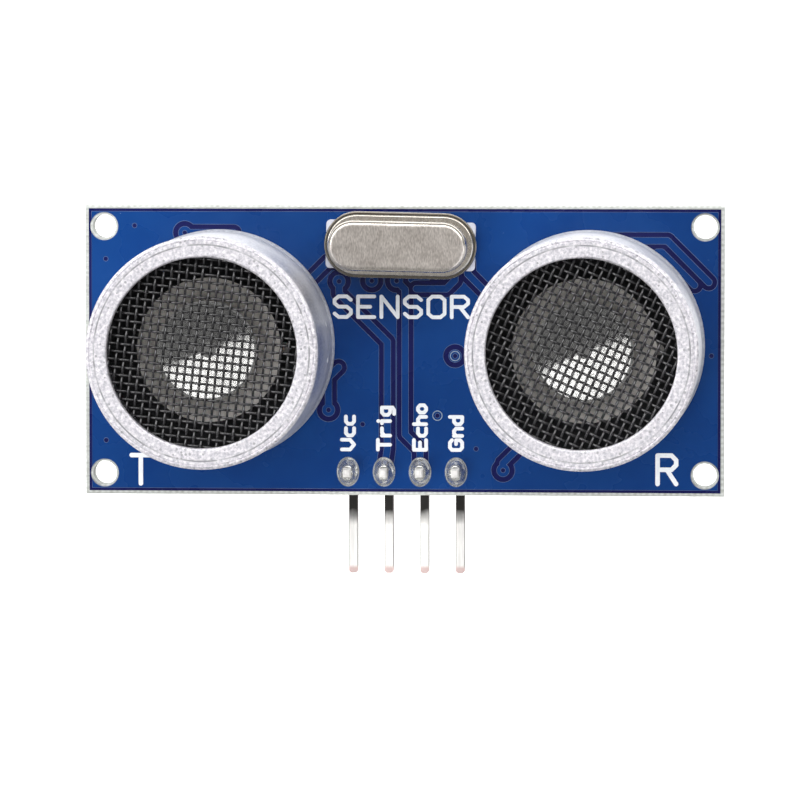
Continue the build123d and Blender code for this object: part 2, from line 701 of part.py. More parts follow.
os.makedirs("parts", exist_ok=True)
front_metal, front_lacquer = front_film()
rear_metal, rear_lacquer = rear_film()
nodes = {
    "circuit_board": board_core(),
    "front_copper": front_metal,
    "rear_copper": rear_metal,
    "front_solder_mask": front_lacquer,
    "rear_solder_mask": rear_lacquer,
    "component_pads": component_pad_metal(),
    "plated_holes": plated_holes(),
    "via_linings": via_linings(),
    "front_legend": front_legend(),
    "rear_legend": rear_legend(),
    "header_block": header_block(),
    "header_solder_joints": header_solder(),
}
nodes.update({name: header_pin(x) for name, (x, _) in zip(pin_names, pin_places)})
nodes.update(crystal_pieces())
for side, x in (("transmitter", -transducer_x), ("receiver", transducer_x)):
    nodes.update(transducer_pieces(side, x))
for name, (x, y, leads, turn) in chips.items():
    nodes.update(chip_pieces(name, x, y, leads, turn))
nodes.update(small_parts("resistor", resistors, resistor_height))
nodes.update(small_parts("capacitor", capacitors, capacitor_height))
nodes.update(transistor_pieces())
for name, shape in nodes.items():
    write(name, shape)
print(len(nodes), "nodes written")
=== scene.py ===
import math

import bmesh
import bpy
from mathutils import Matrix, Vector, noise


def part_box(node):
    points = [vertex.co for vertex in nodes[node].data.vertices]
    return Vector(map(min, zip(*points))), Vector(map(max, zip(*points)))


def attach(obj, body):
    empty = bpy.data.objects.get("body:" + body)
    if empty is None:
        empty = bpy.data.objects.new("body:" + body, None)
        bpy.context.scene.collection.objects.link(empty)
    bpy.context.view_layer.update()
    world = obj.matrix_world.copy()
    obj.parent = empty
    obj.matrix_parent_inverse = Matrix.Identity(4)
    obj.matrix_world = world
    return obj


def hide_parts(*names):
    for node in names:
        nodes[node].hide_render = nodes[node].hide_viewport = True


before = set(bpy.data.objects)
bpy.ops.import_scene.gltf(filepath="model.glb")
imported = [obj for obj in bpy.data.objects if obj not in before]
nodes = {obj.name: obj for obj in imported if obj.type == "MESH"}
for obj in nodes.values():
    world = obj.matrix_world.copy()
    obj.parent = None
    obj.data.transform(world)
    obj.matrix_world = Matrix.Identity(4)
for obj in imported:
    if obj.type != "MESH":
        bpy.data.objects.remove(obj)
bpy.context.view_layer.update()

# Ultrasonic distance sensor: finishes, woven grilles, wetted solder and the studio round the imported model.
# All lengths are in metres. The board stands upright, and the sensor looks along -Y.

mm = 0.001
bodyName = "root"
mergeDistance = 1e-7


# helpers that build shader nodes
def addNode(tree, kind, **settings):
    node = tree.nodes.new(kind)
    for key, value in settings.items():
        if key in node.bl_rna.properties:
            setattr(node, key, value)
        else:
            node.inputs[key.replace("_", " ")].default_value = value
    return node


def join(tree, source, sink):
    tree.links.new(source, sink)


def mixColours(tree, mask, low, high):
    mix = addNode(tree, "ShaderNodeMix", data_type="RGBA")
    join(tree, mask, mix.inputs["Factor"])
    for socket, value in ((mix.inputs[6], low), (mix.inputs[7], high)):
        if isinstance(value, bpy.types.NodeSocket):
            join(tree, value, socket)
        else:
            socket.default_value = (*value, 1)
    return mix.outputs[2]


def mapValue(tree, value, fromMin, fromMax, toMin, toMax):
    ramp = addNode(tree, "ShaderNodeMapRange")
    join(tree, value, ramp.inputs["Value"])
    for name, number in (("From Min", fromMin), ("From Max", fromMax), ("To Min", toMin), ("To Max", toMax)):
        ramp.inputs[name].default_value = number
    return ramp.outputs["Result"]


def maths(tree, operation, first, second=0.0):
    node = addNode(tree, "ShaderNodeMath", operation=operation)
    for socket, value in ((node.inputs[0], first), (node.inputs[1], second)):
        if isinstance(value, bpy.types.NodeSocket):
            join(tree, value, socket)
        else:
            socket.default_value = value
    return node.outputs[0]


def newGroup(name, inputs, outputs):
    group = bpy.data.node_groups.new(name, "ShaderNodeTree")
    for label, kind, value in inputs:
        socket = group.interface.new_socket(name=label, in_out="INPUT", socket_type=kind)
        if value is not None:
            socket.default_value = value
    for label, kind in outputs:
        group.interface.new_socket(name=label, in_out="OUTPUT", socket_type=kind)
    entry = group.nodes.new("NodeGroupInput")
    leave = group.nodes.new("NodeGroupOutput")
    return group, entry, leave


def grainGroup():
    # fine grain and slow cloudiness, both 0 to 1, stretched by Stretch before the noise reads it
    group, entry, leave = newGroup(
        "surfaceGrain",
        [("Stretch", "NodeSocketVector", (1, 1, 1)), ("Fine", "NodeSocketFloat", 9000.0),
         ("Coarse", "NodeSocketFloat", 400.0)],
        [("Grain", "NodeSocketFloat"), ("Cloud", "NodeSocketFloat")],
    )
    where = addNode(group, "ShaderNodeTexCoord")
    stretch = addNode(group, "ShaderNodeVectorMath", operation="MULTIPLY")
    join(group, where.outputs["Object"], stretch.inputs[0])
    join(group, entry.outputs["Stretch"], stretch.inputs[1])
    fine = addNode(group, "ShaderNodeTexNoise", Detail=2.0, Roughness=0.6)
    coarse = addNode(group, "ShaderNodeTexNoise", Detail=3.0, Roughness=0.5)
    join(group, stretch.outputs[0], fine.inputs["Vector"])
    join(group, where.outputs["Object"], coarse.inputs["Vector"])
    join(group, entry.outputs["Fine"], fine.inputs["Scale"])
    join(group, entry.outputs["Coarse"], coarse.inputs["Scale"])
    join(group, mapValue(group, fine.outputs["Fac"], 0.3, 0.7, 0, 1), leave.inputs["Grain"])
    join(group, mapValue(group, coarse.outputs["Fac"], 0.3, 0.7, 0, 1), leave.inputs["Cloud"])
    return group


def speckGroup():
    # small scattered specks, such as dust or pits: 1 on a speck, 0 elsewhere
    group, entry, leave = newGroup(
        "scatteredSpecks",
        [("Scale", "NodeSocketFloat", 1500.0), ("Size", "NodeSocketFloat", 0.12),
         ("Share", "NodeSocketFloat", 0.2)],
        [("Speck", "NodeSocketFloat")],
    )
    where = addNode(group, "ShaderNodeTexCoord")
    cells = addNode(group, "ShaderNodeTexVoronoi")
    join(group, where.outputs["Object"], cells.inputs["Vector"])
    join(group, entry.outputs["Scale"], cells.inputs["Scale"])
    near = maths(group, "LESS_THAN", cells.outputs["Distance"], entry.outputs["Size"])
    split = addNode(group, "ShaderNodeSeparateColor")
    join(group, cells.outputs["Color"], split.inputs[0])
    chosen = maths(group, "LESS_THAN", split.outputs[0], entry.outputs["Share"])
    join(group, maths(group, "MULTIPLY", near, chosen), leave.inputs["Speck"])
    return group


surfaceGrain = grainGroup()
scatteredSpecks = speckGroup()


def placeGroup(tree, group, **values):
    node = addNode(tree, "ShaderNodeGroup")
    node.node_tree = group
    for name, value in values.items():
        node.inputs[name].default_value = value
    return node


def newMaterial(name, **shaderValues):
    material = bpy.data.materials.new(name)
    material.use_nodes = True
    tree = material.node_tree
    shader = tree.nodes["Principled BSDF"]
    for key, value in shaderValues.items():
        shader.inputs[key.replace("_", " ")].default_value = value
    return material, tree, shader


def addBump(tree, shader, height, strength, distance):
    bump = addNode(tree, "ShaderNodeBump", Strength=strength, Distance=distance)
    join(tree, height, bump.inputs["Height"])
    join(tree, bump.outputs["Normal"], shader.inputs["Normal"])


def grainedMaterial(name, look):
    # the usual finish: two tones mixed by grain and cloud, roughness that follows the cloud, and fine bump
    material, tree, shader = newMaterial(name, **look.get("shader", {}))
    grain = placeGroup(tree, surfaceGrain, Stretch=look.get("stretch", (1, 1, 1)),
                       Fine=look.get("fine", 9000.0), Coarse=look.get("coarse", 400.0))
    blend = maths(tree, "MULTIPLY", grain.outputs["Grain"], look.get("grainShare", 0.6))
    cloud = maths(tree, "MULTIPLY", grain.outputs["Cloud"], 1 - look.get("grainShare", 0.6))
    tone = maths(tree, "ADD", blend, cloud)
    colour = mixColours(tree, tone, look["dark"], look["light"])
    if "speck" in look:
        specks = placeGroup(tree, scatteredSpecks, **look["speckShape"])
        colour = mixColours(tree, specks.outputs["Speck"], colour, look["speck"])
    join(tree, colour, shader.inputs["Base Color"])
    low, high = look["roughness"]
    join(tree, mapValue(tree, tone, 0, 1, low, high), shader.inputs["Roughness"])
    addBump(tree, shader, grain.outputs["Grain"], look.get("bump", 0.2), look.get("bumpDepth", 2e-6))
    return material


# the finishes that differ only in their numbers
finishes = {
    "diaphragmMetal": {
        "dark": (0.84, 0.78, 0.73), "light": (1.0, 0.95, 0.90), "roughness": (0.42, 0.6),
        "fine": 7000.0, "shader": {"Metallic": 0.15},
    },
    "grilleWire": {
        "dark": (0.008, 0.008, 0.009), "light": (0.032, 0.031, 0.033), "roughness": (0.12, 0.22),
        "fine": 9000.0, "shader": {"IOR": 1.7},
    },
    "leadSteel": {
        "dark": (0.52, 0.50, 0.48), "light": (0.80, 0.78, 0.76), "roughness": (0.18, 0.34),
        "stretch": (1.0, 1.0, 0.08), "fine": 8000.0, "bump": 0.3, "shader": {"Metallic": 1.0},
    },
    "solder": {
        "dark": (0.50, 0.50, 0.47), "light": (0.98, 0.98, 0.95), "roughness": (0.12, 0.26),
        "fine": 2600.0, "coarse": 1500.0, "grainShare": 0.45, "bump": 0.8, "bumpDepth": 4e-5,
        "shader": {"Metallic": 0.85},
    },
    "tin": {
        "dark": (0.60, 0.60, 0.58), "light": (0.84, 0.84, 0.82), "roughness": (0.2, 0.4),
        "fine": 5000.0, "bump": 0.3, "shader": {"Metallic": 1.0},
    },
    "leadTin": {
        "dark": (0.50, 0.50, 0.49), "light": (0.76, 0.76, 0.75), "roughness": (0.3, 0.5),
        "fine": 6500.0, "shader": {"Metallic": 1.0},
    },
    "copper": {
        "dark": (0.46, 0.22, 0.12), "light": (0.80, 0.44, 0.28), "roughness": (0.25, 0.45),
        "fine": 6000.0, "shader": {"Metallic": 1.0},
    },
    # painted highlight: the via lips are pale grey blue, far paler than the lacquer they are made of
    "viaRimHighlight": {
        "dark": (0.20, 0.27, 0.36), "light": (0.36, 0.44, 0.54), "roughness": (0.25, 0.45), "fine": 6000.0,
    },
    # painted highlight: the lacquer lips are a paler blue than the lacquer round them
    "lacquerLipHighlight": {
        "dark": (0.040, 0.070, 0.19), "light": (0.10, 0.16, 0.33), "roughness": (0.25, 0.45),
        "fine": 5000.0, "coarse": 700.0, "grainShare": 0.3,
    },
    "whiteInk": {
        "dark": (0.80, 0.83, 0.87), "light": (0.97, 0.98, 1.0), "roughness": (0.45, 0.7),
        "fine": 9000.0, "coarse": 2500.0, "grainShare": 0.4, "bump": 0.4, "bumpDepth": 4e-6,
    },
    "whitePlate": {
        "dark": (0.56, 0.57, 0.66), "light": (0.74, 0.75, 0.82), "roughness": (0.4, 0.6), "fine": 4000.0,
    },
    "blackPlastic": {
        "dark": (0.010, 0.010, 0.011), "light": (0.030, 0.030, 0.033), "roughness": (0.38, 0.6),
        "fine": 7000.0, "bump": 0.45, "bumpDepth": 5e-6,
    },
    "chipEpoxy": {
        "dark": (0.014, 0.014, 0.016), "light": (0.050, 0.050, 0.054), "roughness": (0.45, 0.68),
        "fine": 8000.0, "coarse": 900.0, "bump": 0.6, "bumpDepth": 6e-6,
        "speck": (0.09, 0.09, 0.095), "speckShape": {"Scale": 6500.0, "Size": 0.2, "Share": 0.12},
    },
    "resistorBlack": {
        "dark": (0.008, 0.008, 0.009), "light": (0.022, 0.022, 0.024), "roughness": (0.12, 0.28),
        "fine": 5000.0, "shader": {"Coat Weight": 0.4},
    },
    "capacitorTan": {
        "dark": (0.28, 0.18, 0.095), "light": (0.46, 0.33, 0.19), "roughness": (0.38, 0.6),
        "fine": 7500.0, "coarse": 1800.0, "bump": 0.4,
    },
    "ceramic": {
        "dark": (0.52, 0.45, 0.35), "light": (0.74, 0.66, 0.54), "roughness": (0.5, 0.75), "fine": 6000.0,
    },
    "silicone": {
        "dark": (0.56, 0.56, 0.54), "light": (0.76, 0.76, 0.74), "roughness": (0.3, 0.5), "fine": 2500.0,
        "shader": {"Subsurface Weight": 0.2, "Subsurface Scale": 0.0006},
    },
}


def radialCentre(node):
    low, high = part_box(node)
    return Vector(((low.x + high.x) / 2, 0, (low.z + high.z) / 2))


def centredVector(tree, centre):
    where = addNode(tree, "ShaderNodeTexCoord")
    shift = addNode(tree, "ShaderNodeMapping")
    shift.inputs["Location"].default_value = (-centre.x, 0, -centre.z)
    join(tree, where.outputs["Object"], shift.inputs["Vector"])
    return shift.outputs["Vector"]


hornLook = {
    "dark": (0.62, 0.61, 0.59), "light": (0.92, 0.92, 0.91), "roughness": (0.15, 0.24),
    "ringScale": 5200.0, "ringNoise": 3.0, "bump": 0.12, "bumpDepth": 1.5e-6,
}


def hornMaterial(name, centre, look):
    # spun metal: fine rings round the cone's own axis
    material, tree, shader = newMaterial(name, Metallic=1.0)
    split = addNode(tree, "ShaderNodeSeparateXYZ")
    join(tree, centredVector(tree, centre), split.inputs[0])
    xx = maths(tree, "MULTIPLY", split.outputs["X"], split.outputs["X"])
    zz = maths(tree, "MULTIPLY", split.outputs["Z"], split.outputs["Z"])
    radius = maths(tree, "SQRT", maths(tree, "ADD", xx, zz))
    rings = addNode(tree, "ShaderNodeTexNoise", noise_dimensions="1D", Detail=2.0)
    join(tree, maths(tree, "MULTIPLY", radius, look["ringScale"]), rings.inputs["W"])
    rings.inputs["Scale"].default_value = look["ringNoise"]
    tone = mapValue(tree, rings.outputs["Fac"], 0.3, 0.7, 0, 1)
    join(tree, mixColours(tree, tone, look["dark"], look["light"]), shader.inputs["Base Color"])
    low, high = look["roughness"]
    join(tree, mapValue(tree, tone, 0, 1, low, high), shader.inputs["Roughness"])
    addBump(tree, shader, tone, look["bump"], look["bumpDepth"])
    return material


lacquerLook = {
    "overCopper": (0.0010, 0.035, 0.175), "overCopperWorn": (0.0032, 0.048, 0.208),
    "overGap": (0.0035, 0.0045, 0.060), "overGapWorn": (0.0060, 0.0080, 0.085),
    "boardMiddle": 0.75 * mm, "sunkenLevel": 0.798 * mm, "fullLevel": 0.812 * mm,
    "grainScale": 3000.0, "cloudScale": 260.0, "cloudShare": 0.8, "roughness": (0.20, 0.34),
    "dust": (0.10, 0.16, 0.32), "dustShape": {"Scale": 1150.0, "Size": 0.06, "Share": 0.06},
    "bump": 0.25, "bumpDepth": 1e-5,
}


def lacquerMaterial(look):
    # blue lacquer, paler over copper than over bare laminate, which lies a little lower
    material, tree, shader = newMaterial("blueLacquer", IOR=1.33)
    where = addNode(tree, "ShaderNodeTexCoord")
    split = addNode(tree, "ShaderNodeSeparateXYZ")
    join(tree, where.outputs["Object"], split.inputs[0])
    depth = maths(tree, "ABSOLUTE", maths(tree, "ADD", split.outputs["Y"], look["boardMiddle"]))
    high = mapValue(tree, depth, look["sunkenLevel"], look["fullLevel"], 0, 1)
    grain = placeGroup(tree, surfaceGrain, Fine=look["grainScale"], Coarse=look["cloudScale"])
    tone = maths(tree, "MULTIPLY", grain.outputs["Cloud"], look["cloudShare"])
    over = mixColours(tree, tone, look["overCopper"], look["overCopperWorn"])
    gap = mixColours(tree, tone, look["overGap"], look["overGapWorn"])
    colour = mixColours(tree, high, gap, over)
    specks = placeGroup(tree, scatteredSpecks, **look["dustShape"])
    colour = mixColours(tree, specks.outputs["Speck"], colour, look["dust"])
    join(tree, colour, shader.inputs["Base Color"])
    low, rough = look["roughness"]
    join(tree, mapValue(tree, grain.outputs["Cloud"], 0, 1, low, rough), shader.inputs["Roughness"])
    addBump(tree, shader, grain.outputs["Cloud"], look["bump"], look["bumpDepth"])
    return material


laminateLook = {
    "dark": (0.40, 0.41, 0.38), "light": (0.58, 0.60, 0.57), "fibre": (0.70, 0.72, 0.70),
    "yarnPitch": 0.42 * mm, "layerPitch": 0.19 * mm, "roughness": (0.45, 0.7),
    "grainShape": {"Stretch": (0.3, 1, 1), "Fine": 7000.0, "Coarse": 500.0}, "bump": 0.35, "bumpDepth": 4e-6,
}


def laminateMaterial(look):
    # glass cloth in resin: crossed yarns on the faces, and stacked layers on the cut edges
    material, tree, shader = newMaterial("glassLaminate")
    where = addNode(tree, "ShaderNodeTexCoord")
    split = addNode(tree, "ShaderNodeSeparateXYZ")
    join(tree, where.outputs["Object"], split.inputs[0])

    def wave(axis, pitch):
        turns = maths(tree, "MULTIPLY", split.outputs[axis], 2 * math.pi / pitch)
        return mapValue(tree, maths(tree, "SINE", turns), -1, 1, 0, 1)

    yarns = maths(tree, "MULTIPLY", wave("X", look["yarnPitch"]), wave("Z", look["yarnPitch"]))
    cloth = maths(tree, "MULTIPLY", yarns, wave("Y", look["layerPitch"]))
    grain = placeGroup(tree, surfaceGrain, **look["grainShape"])
    base = mixColours(tree, grain.outputs["Grain"], look["dark"], look["light"])
    join(tree, mixColours(tree, cloth, base, look["fibre"]), shader.inputs["Base Color"])
    join(tree, mapValue(tree, grain.outputs["Cloud"], 0, 1, *look["roughness"]), shader.inputs["Roughness"])
    addBump(tree, shader, maths(tree, "ADD", yarns, grain.outputs["Grain"]), look["bump"], look["bumpDepth"])
    return material


def glassMaterial(name, tint, roughness):
    # clear glass or crystal with a slight cloudiness
    material, tree, shader = newMaterial(name, IOR=1.5)
    shader.inputs["Transmission Weight"].default_value = 1.0
    grain = placeGroup(tree, surfaceGrain, Fine=3000.0, Coarse=900.0)
    shades = mixColours(tree, grain.outputs["Cloud"], [0.8 * c for c in tint], tint)
    join(tree, shades, shader.inputs["Base Color"])
    low, high = roughness
    join(tree, mapValue(tree, grain.outputs["Grain"], 0, 1, low, high), shader.inputs["Roughness"])
    return material


canLook = {
    "faceFrom": 0.35 * mm, "faceTo": 0.49 * mm, "footTo": 4.2 * mm,
    "face": ((0.54, 0.53, 0.58), (1.0, 0.97, 1.0)), "faceRoughness": 0.60,
    "pit": (0.50, 0.49, 0.52), "pitShape": {"Scale": 3400.0, "Size": 0.30, "Share": 0.22},
    "grooveRadius": 7.42 * mm, "grooveWidth": 0.07 * mm, "grooveShadeColour": (0.34, 0.34, 0.36),
    "barrel": ((0.50, 0.51, 0.55), (0.74, 0.75, 0.79)), "barrelRoughness": 0.34,
    "foot": ((0.54, 0.55, 0.59), (0.76, 0.77, 0.80)), "footRoughness": 0.46, "footFade": 5.0 * mm,
    "faceMetal": 0.72, "barrelMetal": 0.80, "footMetal": 0.55,
    "grainShape": {"Fine": 4200.0, "Coarse": 900.0},
    "drawnShape": {"Stretch": (1.0, 0.15, 1.0), "Fine": 6000.0, "Coarse": 900.0},
    "roughnessSpread": 0.05, "barrelBump": 0.15, "bump": 0.6, "bumpDepth": 8e-6,
}


def canMaterial(look):
    # blasted face, bright drawn barrel, and a duller foot where the barrel meets the board
    material, tree, shader = newMaterial("canAluminium")
    low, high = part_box("transmitter_can")
    where = addNode(tree, "ShaderNodeTexCoord")
    split = addNode(tree, "ShaderNodeSeparateXYZ")
    join(tree, where.outputs["Object"], split.inputs[0])
    grain = placeGroup(tree, surfaceGrain, **look["grainShape"])
    drawn = placeGroup(tree, surfaceGrain, **look["drawnShape"])
    onFace = mapValue(tree, split.outputs["Y"], low.y + look["faceTo"], low.y + look["faceFrom"], 0, 1)
    footEdge = high.y - look["footTo"]
    onFoot = mapValue(tree, split.outputs["Y"], footEdge - look["footFade"], footEdge, 0, 1)
    barrel = mixColours(tree, drawn.outputs["Grain"], *look["barrel"])
    foot = mixColours(tree, grain.outputs["Grain"], *look["foot"])
    face = mixColours(tree, grain.outputs["Grain"], *look["face"])
    pits = placeGroup(tree, scatteredSpecks, **look["pitShape"])
    face = mixColours(tree, pits.outputs["Speck"], face, look["pit"])
    # a faint pressed groove runs round each face, bumped and painted grey as painted shade in the groove; the
    # two cans mirror each other across X
    middle = (low + high) / 2
    side = maths(tree, "ADD", maths(tree, "ABSOLUTE", split.outputs["X"]), middle.x)
    rise = maths(tree, "SUBTRACT", split.outputs["Z"], middle.z)
    radius = maths(tree, "SQRT", maths(tree, "ADD", maths(tree, "MULTIPLY", side, side),
                                       maths(tree, "MULTIPLY", rise, rise)))
    offGroove = maths(tree, "ABSOLUTE", maths(tree, "SUBTRACT", radius, look["grooveRadius"]))
    groove = mapValue(tree, offGroove, look["grooveWidth"] * 0.4, look["grooveWidth"], 1, 0)
    broken = maths(tree, "MULTIPLY", groove, mapValue(tree, drawn.outputs["Cloud"], 0.2, 0.7, 0.25, 1))
    face = mixColours(tree, broken, face, look["grooveShadeColour"])
    colour = mixColours(tree, onFace, mixColours(tree, onFoot, barrel, foot), face)
    join(tree, colour, shader.inputs["Base Color"])
    rough = maths(tree, "ADD", mapValue(tree, onFace, 0, 1, look["barrelRoughness"], look["faceRoughness"]),
                  mapValue(tree, onFoot, 0, 1, 0, look["footRoughness"] - look["barrelRoughness"]))
    spread = look["roughnessSpread"]
    uneven = mapValue(tree, grain.outputs["Grain"], 0, 1, -spread, spread)
    join(tree, maths(tree, "ADD", rough, uneven), shader.inputs["Roughness"])
    metal = maths(tree, "SUBTRACT", mapValue(tree, onFace, 0, 1, look["barrelMetal"], look["faceMetal"]),
                  mapValue(tree, onFoot, 0, 1, 0, look["barrelMetal"] - look["footMetal"]))
    join(tree, metal, shader.inputs["Metallic"])
    height = maths(tree, "SUBTRACT", grain.outputs["Grain"], pits.outputs["Speck"])
    height = maths(tree, "SUBTRACT", height, groove)
    deep = mapValue(tree, onFace, 0, 1, look["barrelBump"], 1.0)
    addBump(tree, shader, maths(tree, "MULTIPLY", height, deep), look["bump"], look["bumpDepth"])
    return material


crystalLook = {
    "top": ((0.44, 0.39, 0.35), (0.86, 0.80, 0.74)), "topRoughness": (0.36, 0.47),
    "side": ((0.58, 0.53, 0.47), (0.82, 0.77, 0.69)), "sideRoughness": (0.15, 0.24),
    "topFrom": 0.015 * mm, "topTo": 0.05 * mm, "weldDark": (0.20, 0.18, 0.15),
    "weldFrom": 0.02 * mm, "weldTo": 0.06 * mm, "brushShare": 0.75, "bump": 0.5, "bumpDepth": 3e-6,
    "brush": {"Stretch": (1.0, 1.0, 0.30), "Fine": 12000.0, "Coarse": 900.0},
}


def crystalMaterial(look):
    # nickel plated steel: a brushed flat top, and drawn sides that still mirror the room
    material, tree, shader = newMaterial("crystalSteel", Metallic=1.0)
    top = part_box("crystal_can")[0].y
    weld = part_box("crystal_base")[0].y
    where = addNode(tree, "ShaderNodeTexCoord")
    split = addNode(tree, "ShaderNodeSeparateXYZ")
    join(tree, where.outputs["Object"], split.inputs[0])
    grain = placeGroup(tree, surfaceGrain, **look["brush"])
    onTop = mapValue(tree, split.outputs["Y"], top + look["topTo"], top + look["topFrom"], 0, 1)
    tone = maths(tree, "ADD", maths(tree, "MULTIPLY", grain.outputs["Grain"], look["brushShare"]),
                 maths(tree, "MULTIPLY", grain.outputs["Cloud"], 1 - look["brushShare"]))
    sideColour = mixColours(tree, tone, *look["side"])
    colour = mixColours(tree, onTop, sideColour, mixColours(tree, tone, *look["top"]))
    seam = maths(tree, "ABSOLUTE", maths(tree, "SUBTRACT", split.outputs["Y"], weld))
    seam = mapValue(tree, seam, look["weldFrom"], look["weldTo"], 1, 0)
    join(tree, mixColours(tree, seam, colour, look["weldDark"]), shader.inputs["Base Color"])
    sideRough = mapValue(tree, tone, 0, 1, *look["sideRoughness"])
    topRough = mapValue(tree, tone, 0, 1, *look["topRoughness"])
    rough = maths(tree, "ADD", maths(tree, "MULTIPLY", onTop, topRough),
                  maths(tree, "MULTIPLY", maths(tree, "SUBTRACT", 1.0, onTop), sideRough))
    join(tree, rough, shader.inputs["Roughness"])
    addBump(tree, shader, grain.outputs["Grain"], look["bump"], look["bumpDepth"])
    return material


pinLook = {
    # the near black pin colour is painted shade for the board's shadow on the pins
    "boardShadowPaint": (0.030, 0.028, 0.026), "bright": (0.93, 0.91, 0.88), "tip": (0.62, 0.47, 0.45),
    "edge": (0.16, 0.145, 0.14), "boardShadowPaintFrom": 1.85 * mm, "fadeOver": 1.1 * mm, "tipLength": 0.6 * mm,
    "pitch": 2.54 * mm, "edgeFrom": 0.80, "edgeTo": 0.97, "wander": 0.2 * mm, "frontDepth": 0.5 * mm,
    "streak": 0.82, "streakShape": {"Stretch": (1.0, 1.0, 0.08), "Fine": 8000.0, "Coarse": 700.0},
    "tipFrom": 0.36 * mm, "roughness": (0.3, 0.45), "metal": (0.12, 0.8), "bump": 0.3, "bumpDepth": 2e-6,
}


def pinMaterial(look):
    # tin painted near black next to the plastic block and just below the board's edge, as painted shade for
    # the board's shadow, bright below it, and sheared bare at the tip
    material, tree, shader = newMaterial("pinMetal")
    low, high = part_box("supply_pin")
    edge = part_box("circuit_board")[0].z
    where = addNode(tree, "ShaderNodeTexCoord")
    split = addNode(tree, "ShaderNodeSeparateXYZ")
    join(tree, where.outputs["Object"], split.inputs[0])
    grain = placeGroup(tree, surfaceGrain, **look["streakShape"])
    wander = mapValue(tree, grain.outputs["Cloud"], 0, 1, -look["wander"], look["wander"])
    height = maths(tree, "ADD", split.outputs["Z"], wander)
    # painted shade: down to here the pins are painted near black and less metallic, where the board's shadow
    # falls
    darkTo = edge - look["boardShadowPaintFrom"]
    dark = mapValue(tree, height, darkTo - look["fadeOver"] / 2, darkTo + look["fadeOver"] / 2, 0, 1)
    atFront = mapValue(tree, split.outputs["Y"], 0, look["frontDepth"], 0, 1)
    dark = maths(tree, "MULTIPLY", dark, atFront)
    dimmed = [look["streak"] * c for c in look["bright"]]
    streaks = mixColours(tree, grain.outputs["Grain"], dimmed, look["bright"])
    colour = mixColours(tree, dark, streaks, look["boardShadowPaint"])
    # each pin is painted darker along its sides and corners
    middle, halfWidth = (low.x + high.x) / 2, (high.x - low.x) / 2
    across = maths(tree, "PINGPONG", maths(tree, "SUBTRACT", split.outputs["X"], middle), look["pitch"] / 2)
    corner = mapValue(tree, across, halfWidth * look["edgeFrom"], halfWidth * look["edgeTo"], 0, 1)
    colour = mixColours(tree, corner, colour, look["edge"])
    bare = mapValue(tree, split.outputs["Z"], low.z + look["tipLength"], low.z + look["tipFrom"], 0, 1)
    colour = mixColours(tree, bare, colour, look["tip"])
    join(tree, colour, shader.inputs["Base Color"])
    join(tree, mapValue(tree, grain.outputs["Grain"], 0, 1, *look["roughness"]), shader.inputs["Roughness"])
    join(tree, mapValue(tree, dark, 0, 1, *look["metal"]), shader.inputs["Metallic"])
    addBump(tree, shader, grain.outputs["Grain"], look["bump"], look["bumpDepth"])
    return material


materials = {name: grainedMaterial(name, look) for name, look in finishes.items()}
materials["blueLacquer"] = lacquerMaterial(lacquerLook)
materials["laminate"] = laminateMaterial(laminateLook)
materials["canAluminium"] = canMaterial(canLook)
materials["crystalSteel"] = crystalMaterial(crystalLook)
materials["pinMetal"] = pinMaterial(pinLook)
materials["sealGlass"] = glassMaterial("sealGlass", (0.35, 0.44, 0.40), (0.05, 0.15))
materials["quartz"] = glassMaterial("quartzPlate", (0.93, 0.95, 0.97), (0.02, 0.08))
print("materials built:", len(materials))

wearsFinish = {
    "laminate": ["circuit_board"],
    "copper": ["front_copper", "rear_copper", "via_linings", "transmitter_lead_wires",
               "receiver_lead_wires"],
    "blueLacquer": ["front_solder_mask", "rear_solder_mask"],
    "tin": ["plated_holes", "component_pads"],
    "whiteInk": ["front_legend", "rear_legend"],
    "blackPlastic": ["header_block", "transmitter_base", "receiver_base"],
    "pinMetal": ["supply_pin", "trigger_pin", "echo_pin", "ground_pin"],
    "leadSteel": ["crystal_leads", "transmitter_terminals", "receiver_terminals"],
    "solder": ["header_solder_joints", "crystal_solder_joints", "transmitter_solder_joints",
               "receiver_solder_joints"],
    "canAluminium": ["transmitter_can", "receiver_can"],
    "grilleWire": ["transmitter_grille", "receiver_grille"],
    "diaphragmMetal": ["transmitter_diaphragm", "receiver_diaphragm"],
    "ceramic": ["transmitter_piezo_disc", "receiver_piezo_disc"],
    "silicone": ["transmitter_support_ring", "receiver_support_ring"],
    "crystalSteel": ["crystal_can", "crystal_base", "crystal_clips"],
    "sealGlass": ["crystal_glass_seals"],
    "quartz": ["crystal_quartz"],
    "whitePlate": ["crystal_insulator"],
    "chipEpoxy": ["driver_chip_body", "amplifier_chip_body", "controller_chip_body", "transistor_body"],
    "leadTin": ["driver_chip_leads", "amplifier_chip_leads", "controller_chip_leads", "transistor_leads",
                "resistor_ends", "capacitor_ends"],
    "resistorBlack": ["resistor_bodies"],
    "capacitorTan": ["capacitor_bodies"],
}


def wear(obj, material):
    # gives every slot of a node the same material
    if obj.data.materials:
        for i in range(len(obj.data.materials)):
            obj.data.materials[i] = material
    else:
        obj.data.materials.append(material)


for finish, names in wearsFinish.items():
    for name in names:
        wear(nodes[name], materials[finish])
for side in ("transmitter", "receiver"):
    horn = side + "_horn"
    wear(nodes[horn], hornMaterial(side + "HornMetal", radialCentre(horn), hornLook))
dressed = {name for names in wearsFinish.values() for name in names} | {"transmitter_horn", "receiver_horn"}
print("nodes with no finish:", sorted(set(nodes) - dressed))


# woven wire grilles in place of the plain discs
weave = {
    "wireRadius": 0.096 * mm,
    "edgeRadius": 7.3 * mm,
    "stepsPerPitch": 4,
    "transmitter": {"pitch": (0.535 * mm, 0.535 * mm), "turn": -6.0},
    "receiver": {"pitch": (0.51 * mm, 0.59 * mm), "turn": -24.0},
}


